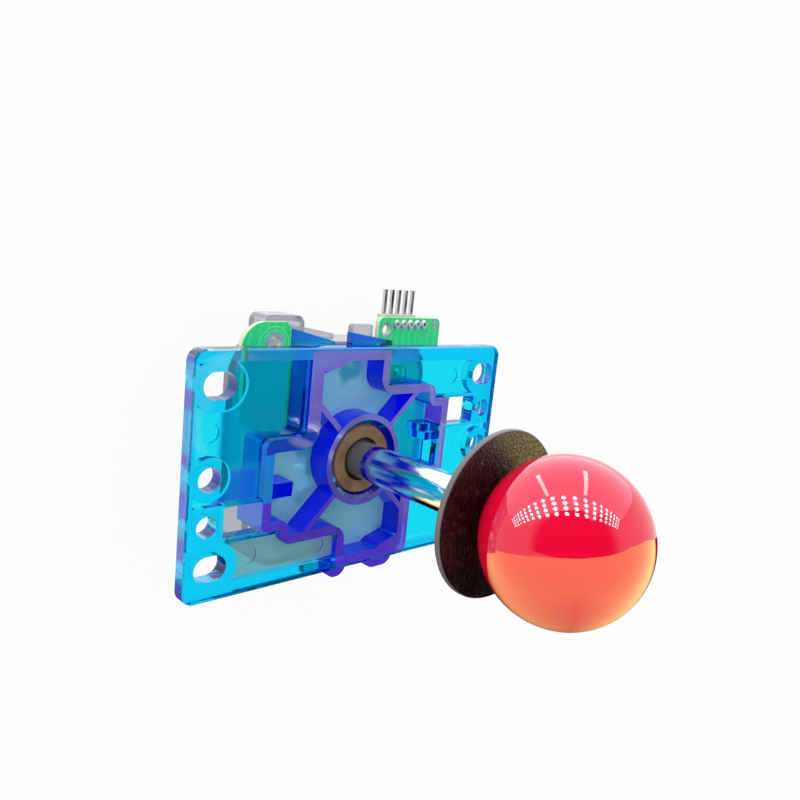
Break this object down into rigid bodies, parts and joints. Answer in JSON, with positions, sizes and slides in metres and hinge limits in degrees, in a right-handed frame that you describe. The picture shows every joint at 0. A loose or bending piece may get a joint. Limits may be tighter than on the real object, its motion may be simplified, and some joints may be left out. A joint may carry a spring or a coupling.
{
  "type": "arcade joystick lever",
  "caption": "Arcade joystick lever with a ball knob on a chromed shaft that tilts in a clear moulded mounting plate over a switch board and a square restrictor gate.",
  "frame": {"origin": "on the lever axis, at the panel face of the mounting plate", "axes": "+Z along the lever towards the knob, X along the plate's long side, +Y towards the edge with the pin header"},
  "size_m": [0.098, 0.0777, 0.1063],
  "materials": {
    "clear_blue_plastic": "polished clear blue moulding",
    "smoke_clear_plastic": "polished clear smoke grey moulding",
    "board_laminate": "green solder mask",
    "white_plastic": "satin",
    "tinned_metal": "tinned",
    "solder": "bright solder",
    "brown_nylon": "satin moulding",
    "black_nylon": "satin moulding",
    "chromed_steel": "polished",
    "spring_steel": "bright",
    "grained_black_plastic": "leather grain",
    "red_gloss_plastic": "polished",
    "brass_insert": "turned",
    "switch_plastic": "satin moulding",
    "plunger_plastic": "satin moulding",
    "leaf_metal": "rolled strip"
  },
  "bodies": {
    "housing": {"body_housing": "clear_blue_plastic", "restrictor_cover": "smoke_clear_plastic", "circuit_board": "board_laminate", "header_base": "white_plastic", "header_pins": "tinned_metal", "solder_joints": "solder", "return_spring": "spring_steel", "spring_seat": "spring_steel", "switch_case_north": "switch_plastic", "switch_leaf_north": "leaf_metal", "switch_terminals_north": "tinned_metal", "switch_case_west": "switch_plastic", "switch_leaf_west": "leaf_metal", "switch_terminals_west": "tinned_metal", "switch_case_south": "switch_plastic", "switch_leaf_south": "leaf_metal", "switch_terminals_south": "tinned_metal", "switch_case_east": "switch_plastic", "switch_leaf_east": "leaf_metal", "switch_terminals_east": "tinned_metal"},
    "rocker": {"pivot_bush": "brown_nylon"},
    "lever_carrier": {"pivot_ball": "black_nylon", "actuator": "black_nylon"},
    "lever": {"lever_shaft": "chromed_steel", "ball_knob": "red_gloss_plastic", "knob_insert": "brass_insert", "retaining_clip": "spring_steel"},
    "washer": {"dust_washer": "grained_black_plastic"},
    "plunger_north": {"switch_plunger_north": "plunger_plastic"},
    "plunger_west": {"switch_plunger_west": "plunger_plastic"},
    "plunger_south": {"switch_plunger_south": "plunger_plastic"},
    "plunger_east": {"switch_plunger_east": "plunger_plastic"}
  },
  "joints": [
    {"name": "tilt_x", "type": "hinge", "parent": "housing", "child": "rocker", "pos_m": [0, 0, -0.004], "axis": [1, 0, 0], "range_deg": [-11, 11], "stiffness_Nm_per_rad": 1.5, "deforming": ["return_spring", "switch_leaf_north", "switch_leaf_south"]},
    {"name": "tilt_y", "type": "hinge", "parent": "rocker", "child": "lever_carrier", "pos_m": [0, 0, -0.004], "axis": [0, 1, 0], "range_deg": [-11, 11], "stiffness_Nm_per_rad": 1.5, "deforming": ["return_spring", "switch_leaf_east", "switch_leaf_west"]},
    {"name": "lever_spin", "type": "hinge", "parent": "lever_carrier", "child": "lever", "pos_m": [0, 0, -0.004], "axis": [0, 0, 1], "continuous": true},
    {"name": "washer_slide", "type": "slide", "parent": "lever", "child": "washer", "axis": [0, 0, 1], "range_m": [-0.036, 0]},
    {"name": "plunger_north_press", "type": "slide", "parent": "housing", "child": "plunger_north", "axis": [0, 1, 0], "range_m": [0, 0.0007], "stiffness_N_per_m": 400},
    {"name": "plunger_west_press", "type": "slide", "parent": "housing", "child": "plunger_west", "axis": [-1, 0, 0], "range_m": [0, 0.0007], "stiffness_N_per_m": 400},
    {"name": "plunger_south_press", "type": "slide", "parent": "housing", "child": "plunger_south", "axis": [0, -1, 0], "range_m": [0, 0.0007], "stiffness_N_per_m": 400},
    {"name": "plunger_east_press", "type": "slide", "parent": "housing", "child": "plunger_east", "axis": [1, 0, 0], "range_m": [0, 0.0007], "stiffness_N_per_m": 400}
  ]
}
